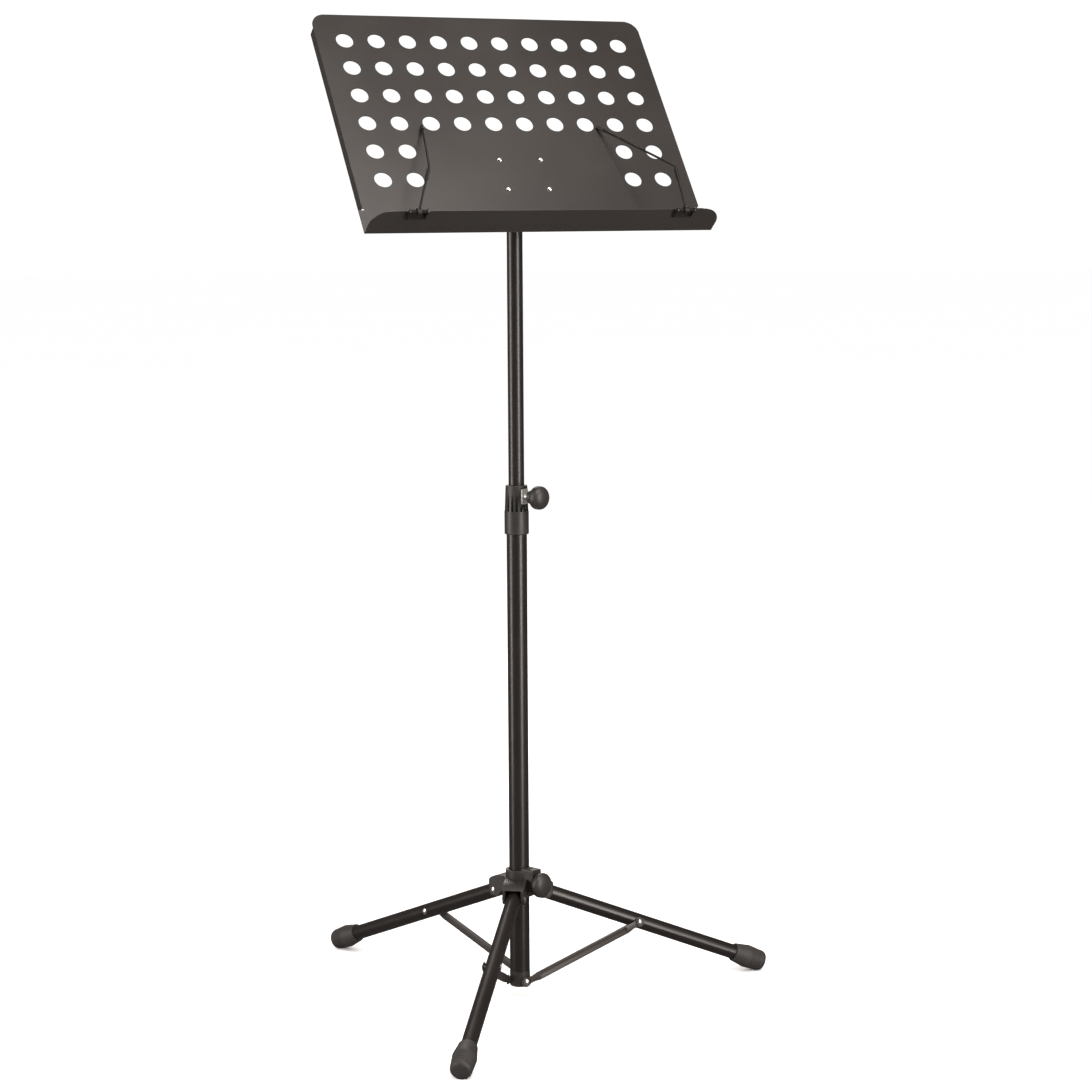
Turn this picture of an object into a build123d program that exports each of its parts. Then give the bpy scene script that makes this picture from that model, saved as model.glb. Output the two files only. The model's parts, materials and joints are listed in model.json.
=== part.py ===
from build123d import *
import os
from math import atan2, cos, radians, sin

# An orchestra music stand: a perforated sheet-steel desk on a telescopic post with a folding
# three-legged base. Millimetres, +Z up. The origin is on the floor under the post, the desk
# faces -Y and its width runs along X.

# ---- post -------------------------------------------------------------------------------
lower_tube_r = 14.1
lower_tube_wall = 1.5
lower_tube_bottom = 36.0
cap_bottom = 14.3
cap_r = 14.3
cap_bore = 10.2
lower_tube_top = 686.0
upper_tube_r = 10.85
upper_tube_wall = 1.2
upper_tube_bottom = 560.0
upper_tube_top = 1106.0
running_gap = 0.35

# ---- height clamp -------------------------------------------------------------------------
clamp_bottom = 657.3
clamp_step = 689.4
clamp_top = 725.0
clamp_band_r = 16.85
clamp_top_r = 15.0
clamp_flutes = 16
height_screw_z = 710.0
height_knob_r = 26.0
knob_azimuth = 25.0
plate_width = 12.0
plate_height = 21.0
plate_thickness = 3.6
screw_r = 3.9
knob_ribs = 30

# ---- legs and struts, in the plane of one leg ----------------------------------------------
front_leg_azimuth = -34.7
leg_angle = 22.3
leg_pivot_r = 36.0
leg_pivot_z = 148.5
leg_tube_r = 10.6
leg_tube_wall = 1.2
leg_stub = 7.0
strut_base_r = 4.0
strut_base_z = 22.0
strut_top_r = 176.0
strut_inner_base = 15.4
strut_inner_top = 11.0
strut_sheet = 2.0
strut_width = 12.0
eye_r = 7.0
foot_start = 313.4
foot_wide = 336.0
foot_shoulder = 358.0
foot_end = 363.0
foot_start_r = 13.3
foot_wide_r = 16.5
foot_end_r = 14.6
foot_grooves = 4
rivet_r = 2.2
rivet_head_r = 4.2

# ---- hub ------------------------------------------------------------------------------------
hub_gap = 0.7
hub_core_r = 21.2
hub_shoulder_z = 172.0
hub_rim_z = 183.0
hub_rim_r = 19.0
housing_r = 46.0
housing_low_z = 141.0
housing_half = 15.5
slot_half = 11.4
slot_top_z = 161.8
hub_screw_z = 165.5
hub_lug_r = 33.0
hub_knob_r = 33.4
hub_lug_top = 186.5
groove_count = 8
groove_pitch = 3.3
groove_half = 0.55
groove_depth = 1.0
groove_slant = 9.0
roof_low_z = 161.0
pivot_hole_play = 0.85

# ---- desk, in its own plane: u across, v up the slope, n towards the reader ---------------
desk_tilt = 37.8
desk_offset = 47.2
tilt_axis_z = 1120.0
sheet = 1.2
panel_half = 244.0
tray_half = 250.0
panel_top = 275.0
tray_under = -97.2
wide_top = -59.0
flange_low = -53.5
flange_high = 252.0
flange_depth = 15.0
lip_depth = 8.0
notch_height = 3.0
panel_corner = 20.0
tray_depth = 47.0
tray_corner = 29.0
hole_r = 12.2
hole_pitch_u = 45.35
hole_pitch_v = 47.65
hole_columns = 10
full_rows = 4
short_rows = 2
side_columns = 2
top_row_v = 229.3
screw_half_u = 30.0
screw_half_v = 25.0

# ---- bracket and tilt joint -----------------------------------------------------------------
bracket_sheet = 2.5
bracket_half_u = 40.0
bracket_half_v = 35.0
ear_inner = 17.0
ear_r = 13.0
head_half = 15.4
head_r = 12.5
head_bottom = 1088.0
head_socket_r = 14.3
tilt_bolt_r = 4.0

# ---- page holders, in the desk's own plane -------------------------------------------------
pin_u = 191.0
pin_v = -101.4
pin_n = 51.0
pin_r = 1.5
spring_wire = 0.55
spring_turns = 7
knee_u = 176.4
knee_v = -56.6
knee_n = 82.9
tip_u = 128.9
tip_v = 79.0
tip_n = 2.9
wire_r = 1.5
sleeve_r = 2.5
sleeve_length = 15.0
tip_r = 2.5
saddle_half = 13.0
tip_length = 14.0

desk_plane = Plane(
    origin=(0, -desk_offset * cos(radians(desk_tilt)), tilt_axis_z + desk_offset * sin(radians(desk_tilt))),
    x_dir=(1, 0, 0),
    z_dir=(0, -cos(radians(desk_tilt)), sin(radians(desk_tilt))),
)


def tube(outer, inner, low, high):
    ring = Cylinder(outer, high - low, align=(Align.CENTER, Align.CENTER, Align.MIN))
    bore = Cylinder(inner, high - low, align=(Align.CENTER, Align.CENTER, Align.MIN))
    return Pos(0, 0, low) * (ring - bore)


def rod(radius, start, end):
    """A round bar between two points."""
    a, b = Vector(*start), Vector(*end)
    line = Plane(origin=a, z_dir=b - a)
    return line * Cylinder(radius, (b - a).length, align=(Align.CENTER, Align.CENTER, Align.MIN))


def span(low, high):
    """A block between two corners."""
    size = [b - a for a, b in zip(low, high)]
    return Pos(*low) * Box(*size, align=(Align.MIN, Align.MIN, Align.MIN))


def around(shape, azimuth):
    """Turn a shape made in the XZ plane to an azimuth, counted from -Y towards +X."""
    return Rot(0, 0, azimuth - 90) * shape


def leg_azimuth(number):
    return front_leg_azimuth + 120 * (number - 1)


def on_leg(distance):
    """The place on a leg's centre line at a distance from its pivot, in the leg's plane."""
    slope = radians(leg_angle)
    return (leg_pivot_r + distance * cos(slope), 0, leg_pivot_z - distance * sin(slope))


def turned(points, rim_z, top):
    """A body of revolution about Z: an outline, then a spherical dome from its last point."""
    rim = points[-1][0]
    rise = top - rim_z
    ball = (rim * rim + rise * rise) / (2 * rise)
    half = atan2(rim, ball - rise) / 2
    middle = (ball * sin(half), top - ball + ball * cos(half))
    outline = Polyline(*points) + ThreePointArc((rim, rim_z), middle, (0, top)) + Line((0, top), points[0])
    return revolve(Plane.XZ * make_face(outline), Axis.Z)


def domed_rivet(head_y, direction, x, z, shank_to):
    """A rivet along Y: its shank and a domed head that stands on a face at head_y."""
    shank = rod(rivet_r, (x, shank_to, z), (x, head_y, z))
    head = turned([(0, 0), (rivet_head_r, 0), (rivet_head_r, 0.5)], 0.5, 1.7)
    seat = Plane(origin=(x, head_y, z), z_dir=(0, direction, 0))
    return shank + seat * head


# ---- post -----------------------------------------------------------------------------------
def lower_tube():
    return tube(lower_tube_r, lower_tube_r - lower_tube_wall, lower_tube_bottom, lower_tube_top)


def upper_tube():
    body = tube(upper_tube_r, upper_tube_r - upper_tube_wall, upper_tube_bottom, upper_tube_top)
    pin_z = (head_bottom + upper_tube_top) / 2
    return body - rod(rivet_r, (0, -40, pin_z), (0, 40, pin_z))


def guide_bush():
    """Plastic bush on the foot of the upper tube, which runs in the lower tube."""
    outer = lower_tube_r - lower_tube_wall - 0.3
    sleeve = tube(outer, upper_tube_r, upper_tube_bottom, upper_tube_bottom + 40)
    plug = tube(outer, upper_tube_r - 4, upper_tube_bottom - 4, upper_tube_bottom)
    return sleeve + plug


def clamp_collar():
    band = Pos(0, 0, clamp_bottom) * Cylinder(
        clamp_band_r, clamp_step - clamp_bottom, align=(Align.CENTER, Align.CENTER, Align.MIN)
    )
    band = fillet(band.edges().group_by(Axis.Z)[0], 1.2)
    crown = Pos(0, 0, clamp_step) * Cone(
        clamp_band_r - 0.5, clamp_top_r, clamp_top - clamp_step, align=(Align.CENTER, Align.CENTER, Align.MIN)
    )
    crown = fillet(crown.edges().group_by(Axis.Z)[-1], 0.8)
    body = band + crown
    # pointed flutes: shallow at the top, widest at the step
    for turn in range(clamp_flutes):
        flute = Pos(clamp_top_r + 1.2, 0, clamp_top - 6) * Rot(0, 4.0, 0) * Cone(
            2.6, 0.3, clamp_top - clamp_step - 6, align=(Align.CENTER, Align.CENTER, Align.MAX)
        )
        body -= Rot(0, 0, 360 / clamp_flutes * turn) * flute
    body -= Cylinder(upper_tube_r + running_gap, 4 * clamp_top)
    body -= Cylinder(lower_tube_r, 2 * lower_tube_top)
    # the window for the nut plate, with a pocket above and below it
    window = span(
        (lower_tube_r - 1.7, -plate_width / 2, height_screw_z - plate_height / 2 - 7),
        (clamp_band_r + 2, plate_width / 2, height_screw_z + plate_height / 2 + 2.0),
    )
    pad_hole = rod(3.6, (upper_tube_r, 0, height_screw_z), (lower_tube_r, 0, height_screw_z))
    return body - around(window + pad_hole, knob_azimuth)


def nut_plate(outer_face, centre_z):
    """A rectangular steel plate with the clamp screw's thread through it."""
    plate = span(
        (outer_face - plate_thickness, -plate_width / 2, centre_z - plate_height / 2),
        (outer_face, plate_width / 2, centre_z + plate_height / 2),
    )
    plate = chamfer(plate.edges().filter_by(Axis.X), 0.8)
    hole = rod(screw_r + 0.1, (outer_face - 9, 0, centre_z), (outer_face + 9, 0, centre_z))
    return around(plate - hole, knob_azimuth)


def clamp_pad():
    """Nylon pad that the height screw presses on the upper tube."""
    start = upper_tube_r + running_gap
    return around(rod(3.5, (start, 0, height_screw_z), (start + 1.4, 0, height_screw_z)), knob_azimuth)


def clamp_screw(tip, end, centre_z):
    body = rod(screw_r, (tip + 1.2, 0, centre_z), (end, 0, centre_z))
    point = Plane(origin=(tip, 0, centre_z), z_dir=(1, 0, 0)) * Cone(
        screw_r - 1, screw_r, 1.2, align=(Align.CENTER, Align.CENTER, Align.MIN)
    )
    return around(body + point, knob_azimuth)


def knob(radius, neck_r, neck_length, length, bore, bore_depth):
    """A mushroom knob along +Z from its neck at 0 to its dome, with fine ribs round its side."""
    rim_low = neck_length + 0.25 * (length - neck_length)
    rim_high = neck_length + 0.62 * (length - neck_length)
    points = [(0, 0), (neck_r, 0), (neck_r + 0.8, neck_length), (radius - 1, rim_low)]
    points += [(radius, rim_low + 1), (radius, rim_high)]
    body = turned(points, rim_high, length)
    grooves = []
    for turn in range(knob_ribs):
        groove = Pos(radius + 0.3, 0, 0) * Cylinder(0.8, 2 * rim_high)
        grooves.append(Rot(0, 0, 360 / knob_ribs * turn) * groove)
    return body - grooves - Cylinder(bore, 2 * bore_depth)


def facing_knob(shape, start_r, centre_z):
    seat = Plane(origin=(start_r, 0, centre_z), z_dir=(1, 0, 0))
    return around(seat * shape, knob_azimuth)


# ---- hub ------------------------------------------------------------------------------------
def hub_body():
    """Moulded hub: a core on the post, three clevises for the legs and a boss for the clamp."""
    roof = roof_line(0)
    sides = Polyline(
        (housing_r, roof_low_z),
        (housing_r - 1, housing_low_z + 7),
        (leg_pivot_r + 4, housing_low_z),
        (leg_pivot_r - 8, housing_low_z),
        (hub_core_r, housing_low_z + 9),
        (14, housing_low_z + 9),
        (14, hub_shoulder_z + 0.5),
        (19, hub_shoulder_z + 0.5),
    )
    housing = extrude(Plane.XZ * make_face(roof + sides), housing_half, both=True)
    corner_r = 5.0
    rounded = RectangleRounded(2 * (housing_r + 1.0), 2 * housing_half, corner_r)
    housing &= extrude(rounded, 400)
    core = Pos(0, 0, housing_low_z + 5) * Cylinder(
        hub_core_r, hub_shoulder_z - housing_low_z - 5, align=(Align.CENTER, Align.CENTER, Align.MIN)
    )
    rim = Pos(0, 0, hub_shoulder_z) * Cylinder(
        hub_rim_r, hub_rim_z - hub_shoulder_z, align=(Align.CENTER, Align.CENTER, Align.MIN)
    )
    rim = fillet(rim.edges().group_by(Axis.Z)[-1], 1.0)
    lug = span((0, -9, hub_screw_z - 11), (hub_lug_r, 9, hub_lug_top))
    lug = fillet(lug.edges().filter_by(Axis.X), 2.5)
    body = core + rim + around(lug, knob_azimuth)
    for number in (1, 2, 3):
        body += around(housing, leg_azimuth(number))
    slot = span((hub_core_r + 0.8, -slot_half, 0), (housing_r + 9, slot_half, slot_top_z))
    for number in (1, 2, 3):
        body -= around(slot, leg_azimuth(number))
        pin = rod(rivet_r + 0.3, (leg_pivot_r, -40, leg_pivot_z), (leg_pivot_r, 40, leg_pivot_z))
        trim = span((leg_pivot_r - 8, -40, leg_pivot_z - 8), (leg_pivot_r + 8, 40, leg_pivot_z + 8))
        body -= around(pin & trim, leg_azimuth(number))
        body -= around(Compound(children=roof_grooves()), leg_azimuth(number))
    body -= Pos(0, 0, leg_pivot_z) * Cylinder(lower_tube_r + hub_gap, 120)
    screw_way = rod(screw_r + 0.4, (0, 0, hub_screw_z), (60, 0, hub_screw_z))
    plate_way = span(
        (hub_lug_r - 9 - plate_thickness, -plate_width / 2, hub_screw_z - plate_height / 2),
        (hub_lug_r - 9, plate_width / 2, hub_lug_top + 5),
    )
    return body - around(screw_way + plate_way, knob_azimuth)


def roof_line(drop):
    """The sloped roof of a housing, from the core outwards, lowered by a drop."""
    return Spline(
        (19, hub_shoulder_z + 0.5 - drop),
        (31, hub_shoulder_z - 1.2 - drop),
        (40, roof_low_z + 6.1 - drop),
        (housing_r, roof_low_z - drop),
    )


def roof_grooves():
    """Fine slanted grooves down the sloped roof of a housing."""
    floor_line = roof_line(groove_depth)
    above = Polyline(
        (housing_r, roof_low_z - groove_depth),
        (housing_r, hub_shoulder_z + 6),
        (19, hub_shoulder_z + 6),
        (19, hub_shoulder_z + 0.5 - groove_depth),
    )
    cutter = extrude(Plane.XZ * make_face(floor_line + above), groove_half, both=True)
    keep = span((24, -30, 0), (housing_r + 5, 30, 300))
    grooves = []
    for place in range(groove_count):
        across = (place - (groove_count - 1) / 2) * groove_pitch
        slanted = Pos(36, across, 0) * Rot(0, 0, groove_slant) * Pos(-36, 0, 0) * cutter
        grooves.append(slanted & keep)
    return grooves


def hub_rivets():
    """The three pins that the legs turn on, with a domed head on each side of the clevis."""
    pins = []
    for number in (1, 2, 3):
        left = domed_rivet(-housing_half, -1, leg_pivot_r, leg_pivot_z, 0)
        right = domed_rivet(housing_half, 1, leg_pivot_r, leg_pivot_z, 0)
        pins.append(around(left + right, leg_azimuth(number)))
    return Compound(children=pins)


# ---- legs -----------------------------------------------------------------------------------
def leg_plane():
    start = on_leg(0)
    return Plane(origin=start, x_dir=(0, 1, 0), z_dir=Vector(*on_leg(1)) - Vector(*start))


def leg_tube(number):
    outer = Cylinder(leg_tube_r, foot_end - 18 + leg_stub, align=(Align.CENTER, Align.CENTER, Align.MIN))
    inner = Cylinder(leg_tube_r - leg_tube_wall, 2 * foot_end)
    body = leg_plane() * (Pos(0, 0, -leg_stub) * outer - inner)
    x, _, z = on_leg(0)
    body -= rod(rivet_r + pivot_hole_play, (x, -40, z), (x, 40, z))
    x, _, z = on_leg(strut_distance())
    body -= rod(rivet_r, (x, -40, z), (x, 40, z))
    return around(body, leg_azimuth(number))


def strut_distance():
    return (strut_top_r - leg_pivot_r) / cos(radians(leg_angle))


def leg_foot(number):
    """Rubber boot: a collar that widens, then a grooved cone with a rounded end."""
    outline = Polyline(
        (leg_tube_r, foot_start),
        (foot_start_r - 0.6, foot_start),
        (foot_start_r, foot_start + 0.8),
        (foot_wide_r, foot_wide - 2),
        (foot_wide_r, foot_wide),
        (foot_end_r + 0.4, foot_shoulder - 2),
    )
    nose = ThreePointArc(
        (foot_end_r + 0.4, foot_shoulder - 2), (foot_end_r - 1.9, foot_end - 1.4), (foot_end_r - 6, foot_end)
    )
    inside = Polyline(
        (foot_end_r - 6, foot_end),
        (0, foot_end),
        (0, foot_end - 18),
        (leg_tube_r, foot_end - 18),
        (leg_tube_r, foot_start),
    )
    boot = revolve(Plane.XZ * make_face(outline + nose + inside), Axis.Z)
    slope = (foot_wide_r - foot_end_r - 0.4) / (foot_shoulder - 2 - foot_wide)
    for place in range(foot_grooves):
        along = foot_wide + 3.5 + 4.2 * place
        radius = foot_wide_r - slope * (along - foot_wide)
        boot -= Pos(0, 0, along) * Torus(radius + 0.3, 1.0)
    boot = leg_plane() * boot
    floor_cut = span((0, -60, -40), (600, 60, 0))
    return around(boot - floor_cut, leg_azimuth(number))


# ---- struts ---------------------------------------------------------------------------------
def strut(number):
    """A grooved bar with a flat eye at each end, on the clockwise side of its leg."""
    x, _, z = on_leg(strut_distance())
    base = Vector(strut_base_r, -strut_inner_base, strut_base_z)
    top = Vector(x, -strut_inner_top, z)
    run = top - base
    angle = atan2(run.Z, run.X)
    across = Vector(-sin(angle), 0, cos(angle))
    seat = Plane(origin=base, x_dir=run, z_dir=run.cross(across))
    length = run.length
    bar = Pos(length / 2, 0, 0) * Box(
        length, strut_width - 2, strut_sheet, align=(Align.CENTER, Align.CENTER, Align.MIN)
    )
    rib = Pos(length / 2, 0, 0) * Box(
        length - 34, strut_width, strut_sheet + 1.6, align=(Align.CENTER, Align.CENTER, Align.MIN)
    )
    rib = chamfer(rib.edges().filter_by(Axis.Y).group_by(Axis.Z)[-1], 1.5)
    groove = Pos(length / 2, 0, strut_sheet + 0.8) * Box(
        length - 44, 5.4, 4, align=(Align.CENTER, Align.CENTER, Align.MIN)
    )
    body = bar + rib - groove
    for place in (0, length):
        eye = Pos(place, 0, 0) * Cylinder(eye_r, strut_sheet, align=(Align.CENTER, Align.CENTER, Align.MIN))
        body += eye
    for place in (0, length):
        body -= Pos(place, 0, 0) * Cylinder(rivet_r + 0.35, 30)
    return around(seat * body, leg_azimuth(number))


def strut_rivet(number):
    """The rivet through a leg and the top of its strut; it stays with the leg."""
    x, _, z = on_leg(strut_distance())
    outer = strut_inner_top + strut_sheet + running_gap
    near = domed_rivet(-outer, -1, x, z, 0)
    far = domed_rivet(leg_tube_r, 1, x, z, 0)
    return around(near + far, leg_azimuth(number))


def base_cup():
    """Cap in the foot of the lower tube, with a boss for the lower end of each strut."""
    body = Pos(0, 0, cap_bottom) * Cylinder(
        cap_r, lower_tube_bottom - cap_bottom, align=(Align.CENTER, Align.CENTER, Align.MIN)
    )
    body = fillet(body.edges().group_by(Axis.Z)[0], 2.0)
    for number in (1, 2, 3):
        seat_y = -strut_inner_base + 0.3
        boss = rod(5.4, (strut_base_r, -6, strut_base_z), (strut_base_r, seat_y, strut_base_z))
        body += around(boss, leg_azimuth(number))
    plug_r = lower_tube_r - lower_tube_wall - 0.05
    plug = tube(plug_r, cap_bore, lower_tube_bottom - 1, lower_tube_bottom + 15)
    body -= Pos(0, 0, cap_bottom + 2.5) * Cylinder(
        cap_bore, 60, align=(Align.CENTER, Align.CENTER, Align.MIN)
    )
    body += plug
    for number in (1, 2, 3):
        hole = rod(rivet_r, (strut_base_r, -12, strut_base_z), (strut_base_r, -30, strut_base_z))
        body -= around(hole, leg_azimuth(number))
    return body


def base_rivets():
    outer = strut_inner_base + strut_sheet + running_gap
    pins = []
    for number in (1, 2, 3):
        pin = domed_rivet(-outer, -1, strut_base_r, strut_base_z, -12)
        pins.append(around(pin, leg_azimuth(number)))
    return Compound(children=pins)


# ---- desk -----------------------------------------------------------------------------------
def desk_panel():
    """One folded steel sheet: the panel, its two side flanges and the tray along the bottom."""
    section = Polyline(
        (panel_top, -sheet),
        (tray_under, -sheet),
        (tray_under, tray_depth),
        (tray_under + sheet, tray_depth),
        (tray_under + sheet, 0),
        (panel_top, 0),
        (panel_top, -sheet),
    )
    body = extrude(Plane.YZ * make_face(section), tray_half, both=True)
    bends = body.edges().filter_by(Axis.X)
    outside = bends.filter_by_position(Axis.Z, -sheet - 0.01, -sheet + 0.01)
    outside = outside.filter_by_position(Axis.Y, tray_under - 0.01, tray_under + 0.01)
    body = fillet(outside, 2.4)
    bends = body.edges().filter_by(Axis.X)
    inside = bends.filter_by_position(Axis.Z, -0.01, 0.01)
    inside = inside.filter_by_position(Axis.Y, tray_under + sheet - 0.01, tray_under + sheet + 0.01)
    body = fillet(inside, 1.2)
    for side in (-1, 1):
        edge = span((panel_half, wide_top, -9), (tray_half + 1, panel_top + 1, 9))
        edge = edge if side > 0 else Rot(0, 180, 0) * edge
        body -= edge
    body = fillet(
        body.edges().filter_by(Axis.Z).group_by(Axis.Y)[-1],
        panel_corner,
    )
    front = body.edges().filter_by(Axis.Y).group_by(Axis.Z)[-1]
    body = fillet(front, tray_corner)
    for side in (-1, 1):
        body += side_flange(side)
        notch = Pos(side * panel_half, wide_top + notch_height / 2, 0) * Box(5, notch_height, 9)
        body -= notch
    lip_half = panel_half - panel_corner - 2
    lip = span((-lip_half, panel_top - sheet, -lip_depth), (lip_half, panel_top, 0))
    body += fillet(lip.edges().filter_by(Axis.X).group_by(Axis.Y)[-1].group_by(Axis.Z)[-1], sheet * 0.95)
    return desk_plane * (body - panel_holes())


def side_flange(side):
    low = (panel_half - sheet, flange_low, -flange_depth)
    flange = span(low, (panel_half, flange_high, 0))
    flange = fillet(flange.edges().filter_by(Axis.Y).group_by(Axis.X)[-1].group_by(Axis.Z)[-1], sheet * 0.95)
    return flange if side > 0 else mirror(flange, about=Plane.YZ)


def panel_holes():
    places = []
    for row in range(full_rows + short_rows):
        for column in range(hole_columns):
            inner = side_columns <= column < hole_columns - side_columns
            if row >= full_rows and inner:
                continue
            u = (column - (hole_columns - 1) / 2) * hole_pitch_u
            places.append((u, top_row_v - row * hole_pitch_v))
    holes = [Pos(u, v, 0) * Cylinder(hole_r, 12) for u, v in places]
    for u, v in screw_places():
        holes.append(Pos(u, v, 0) * Cylinder(2.1, 12))
    return holes


def screw_places():
    return [(u, v) for u in (-screw_half_u, screw_half_u) for v in (-screw_half_v, screw_half_v)]


def desk_screws():
    screws = []
    for u, v in screw_places():
        shank = Pos(u, v, 0) * Cylinder(2.1, 10, align=(Align.CENTER, Align.CENTER, Align.MAX))
        head = Pos(u, v, 0) * (Sphere(4.6) & Pos(0, 0, 2.4) * Box(12, 12, 4.8))
        above = Pos(u, v, 0) * Box(12, 12, 6, align=(Align.CENTER, Align.CENTER, Align.MIN))
        dome = Pos(0, 0, -2.2) * head & above
        screws.append(shank + dome)
    return desk_plane * Compound(children=screws)


def desk_nuts():
    nuts = []
    for u, v in screw_places():
        blank = extrude(RegularPolygon(4.6, 6), 3.4)
        nut = Pos(u, v, -sheet - bracket_sheet - 3.4) * (blank - Cylinder(2.1, 20))
        nuts.append(nut)
    return desk_plane * Compound(children=nuts)


def desk_bracket():
    """Folded steel bracket: a plate on the panel's back and two ears that reach to the tilt bolt."""
    plate = Box(
        2 * bracket_half_u, 2 * bracket_half_v, bracket_sheet, align=(Align.CENTER, Align.CENTER, Align.MAX)
    )
    plate = fillet(plate.edges().filter_by(Axis.Z), 8)
    body = Pos(0, 0, -sheet) * plate
    for side in (-1, 1):
        face = ear_inner if side > 0 else -ear_inner - bracket_sheet
        back = -sheet - bracket_sheet
        web = span((face, -ear_r - 9, back - 8), (face + bracket_sheet, ear_r + 9, back))
        arm = span((face, -ear_r, -desk_offset), (face + bracket_sheet, ear_r, back))
        end = rod(ear_r, (face, 0, -desk_offset), (face + bracket_sheet, 0, -desk_offset))
        body += web + arm + end
    body -= rod(tilt_bolt_r, (-50, 0, -desk_offset), (50, 0, -desk_offset))
    for u, v in screw_places():
        body -= Pos(u, v, 0) * Cylinder(2.1, 12)
    return desk_plane * body


# ---- tilt joint -----------------------------------------------------------------------------
def tilt_head():
    """Cast head on the upper tube: a socket for the tube and an eye for the tilt bolt."""
    eye = rod(head_r, (-head_half, 0, tilt_axis_z), (head_half, 0, tilt_axis_z))
    socket = Pos(0, 0, head_bottom) * Cylinder(
        head_socket_r, tilt_axis_z - head_bottom - 3, align=(Align.CENTER, Align.CENTER, Align.MIN)
    )
    socket = fillet(socket.edges().group_by(Axis.Z)[0], 1.2)
    body = eye + socket
    body -= Pos(0, 0, upper_tube_top) * Cylinder(
        upper_tube_r, 60, align=(Align.CENTER, Align.CENTER, Align.MAX)
    )
    body -= rod(tilt_bolt_r + 0.3, (-40, 0, tilt_axis_z), (40, 0, tilt_axis_z))
    pin_z = (head_bottom + upper_tube_top) / 2
    return body - rod(rivet_r, (0, -40, pin_z), (0, 40, pin_z))


def head_pin():
    """Spring pin through the head's socket and the upper tube."""
    pin_z = (head_bottom + upper_tube_top) / 2
    return rod(rivet_r, (0, -head_socket_r, pin_z), (0, head_socket_r, pin_z))


def tilt_washers():
    """Friction discs on the two faces of the head."""
    discs = []
    for side in (-1, 1):
        start = (side * head_half, 0, tilt_axis_z)
        end = (side * (ear_inner - 0.3), 0, tilt_axis_z)
        hole = rod(tilt_bolt_r + 0.3, (-40, 0, tilt_axis_z), (40, 0, tilt_axis_z))
        discs.append(rod(11, start, end) - hole)
    return Compound(children=discs)


def tilt_bolt():
    outer = ear_inner + bracket_sheet
    shank = rod(tilt_bolt_r, (-outer, 0, tilt_axis_z), (outer + 14, 0, tilt_axis_z))
    hexagon = Plane(origin=(-outer - 5, 0, tilt_axis_z), z_dir=(1, 0, 0)) * extrude(RegularPolygon(7.5, 6), 5)
    return shank + hexagon


def tilt_knob():
    start = ear_inner + bracket_sheet + 0.4
    shape = knob(15.0, 8.5, 5, 22, tilt_bolt_r + 0.35, 16)
    return Plane(origin=(start, 0, tilt_axis_z), z_dir=(1, 0, 0)) * shape


# ---- page holders ---------------------------------------------------------------------------
def to_side(shape, side):
    return desk_plane * (shape if side > 0 else mirror(shape, about=Plane.YZ))


def holder_saddle(side):
    """Small folded saddle under the tray's front edge, with an ear at each end of the pin."""
    low = (pin_u - saddle_half, tray_under - sheet, tray_depth - 16)
    body = span(low, (pin_u + saddle_half, tray_under, tray_depth - 2))
    for end in (-1, 1):
        face = pin_u + saddle_half - sheet if end > 0 else pin_u - saddle_half
        ear = span((face, pin_v - 1, tray_depth - 12), (face + sheet, tray_under - sheet, pin_n))
        body += ear + rod(3.2, (face, pin_v, pin_n), (face + sheet, pin_v, pin_n))
    body -= span((pin_u - 30, tray_under, 0), (pin_u + 30, 0, 90))
    return to_side(body - rod(pin_r, (0, pin_v, pin_n), (400, pin_v, pin_n)), side)


def holder_pin(side):
    reach = saddle_half + 1
    return to_side(rod(pin_r, (pin_u - reach, pin_v, pin_n), (pin_u + reach, pin_v, pin_n)), side)


def holder_spring(side):
    """Two torsion coils on the pin, each with a leg that hooks under the tray."""
    inner = pin_r + 0.12
    outer = inner + 2 * spring_wire
    profile = [(inner, 0)]
    for turn in range(spring_turns):
        low = 2 * spring_wire * turn
        profile += [(outer - 0.35, low), (outer, low + 0.35), (outer, low + 2 * spring_wire - 0.35)]
    length = 2 * spring_wire * spring_turns
    profile += [(outer - 0.35, length), (inner, length), (inner, 0)]
    coil = revolve(Plane.XZ * make_face(Polyline(*profile)), Axis.Z)
    legs = []
    for end in (-1, 1):
        start = pin_u + end * 3.6
        far = start + end * (length - spring_wire)
        body = Plane(origin=(start, pin_v, pin_n), z_dir=(end, 0, 0)) * coil
        reach = (far, tray_under - sheet - spring_wire - 0.05, tray_depth - 13)
        legs.append(body + rod(spring_wire, (far, pin_v + outer - spring_wire, pin_n), reach))
    return to_side(Compound(children=legs), side)


def knee_direction():
    return (Vector(knee_u, knee_v, knee_n) - Vector(pin_u, pin_v, pin_n)).normalized()


def holder_lower_wire(side):
    """Lower wire of a page holder: an eye on the pin and a straight run to the knuckle."""
    pin = Vector(pin_u, pin_v, pin_n)
    run = knee_direction()
    start = pin + run * 2.6
    end = Vector(knee_u, knee_v, knee_n) - run * (sleeve_length - 4)
    eye = rod(pin_r + 0.35 + 2 * wire_r, (pin_u - 3, pin_v, pin_n), (pin_u + 3, pin_v, pin_n))
    body = eye + rod(wire_r, tuple(start), tuple(end))
    return to_side(body - rod(pin_r + 0.35, (pin_u - 9, pin_v, pin_n), (pin_u + 9, pin_v, pin_n)), side)


def holder_knuckle(side):
    """Sleeve on the lower wire's end, in which the upper wire turns."""
    run = knee_direction()
    knee = Vector(knee_u, knee_v, knee_n)
    low = knee - run * sleeve_length
    body = rod(sleeve_r, tuple(low), tuple(knee))
    body -= rod(wire_r, tuple(low), tuple(knee - run * (sleeve_length - 4)))
    return to_side(body - rod(wire_r + 0.3, tuple(knee - run * 9), tuple(knee + run * 5)), side)


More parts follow.
